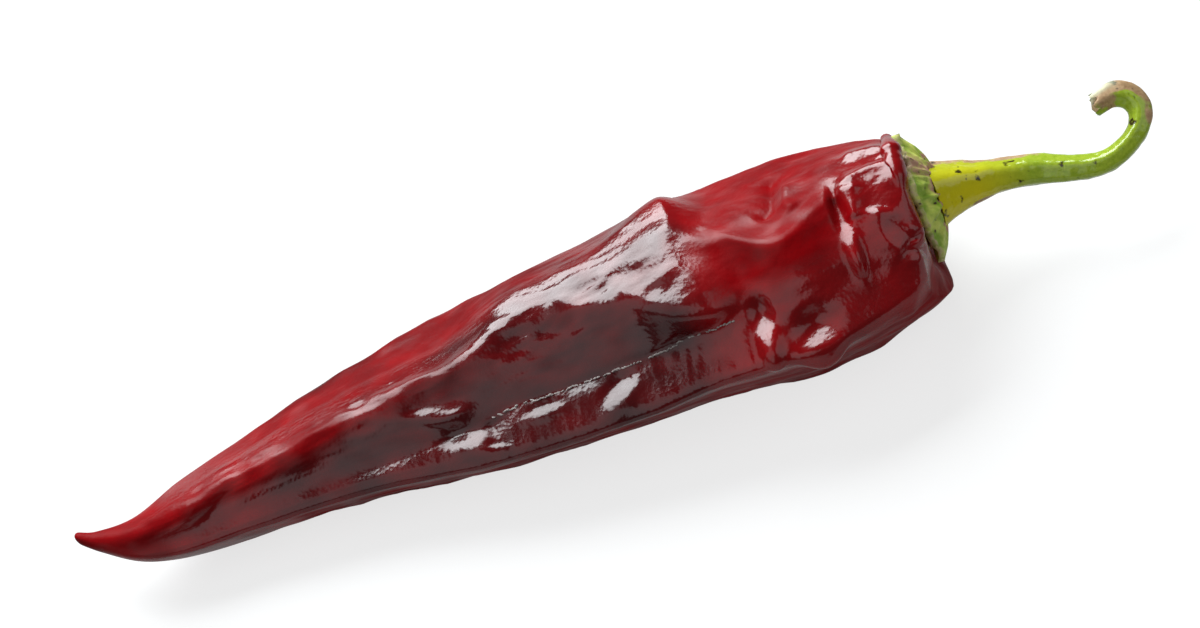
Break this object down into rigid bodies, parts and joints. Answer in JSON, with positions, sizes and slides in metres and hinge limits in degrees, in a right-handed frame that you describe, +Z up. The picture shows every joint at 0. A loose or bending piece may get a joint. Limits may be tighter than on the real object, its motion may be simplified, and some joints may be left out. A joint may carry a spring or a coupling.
{
  "type": "dried chilli pepper",
  "caption": "Long dried red chilli pepper lying on its side: a wrinkled leathery pod that tapers to a turned-up tip, a green calyx cap and a hooked green stem.",
  "frame": {"origin": "middle of the footprint of the whole pepper, on the surface that it lies on", "axes": "+X along the pod from its tip to its stem, +Y to its left side, +Z up from the surface"},
  "size_m": [0.1782, 0.0368, 0.0268],
  "materials": {
    "dried_skin": "glossy deep red dried skin with fine wrinkles",
    "green_calyx": "satin yellow-green plant tissue with dry pale edges",
    "green_stem": "waxy yellow-green stem with brown speckles"
  },
  "bodies": {
    "root": {"pod": "dried_skin", "calyx": "green_calyx", "stem": "green_stem"}
  },
  "joints": []
}
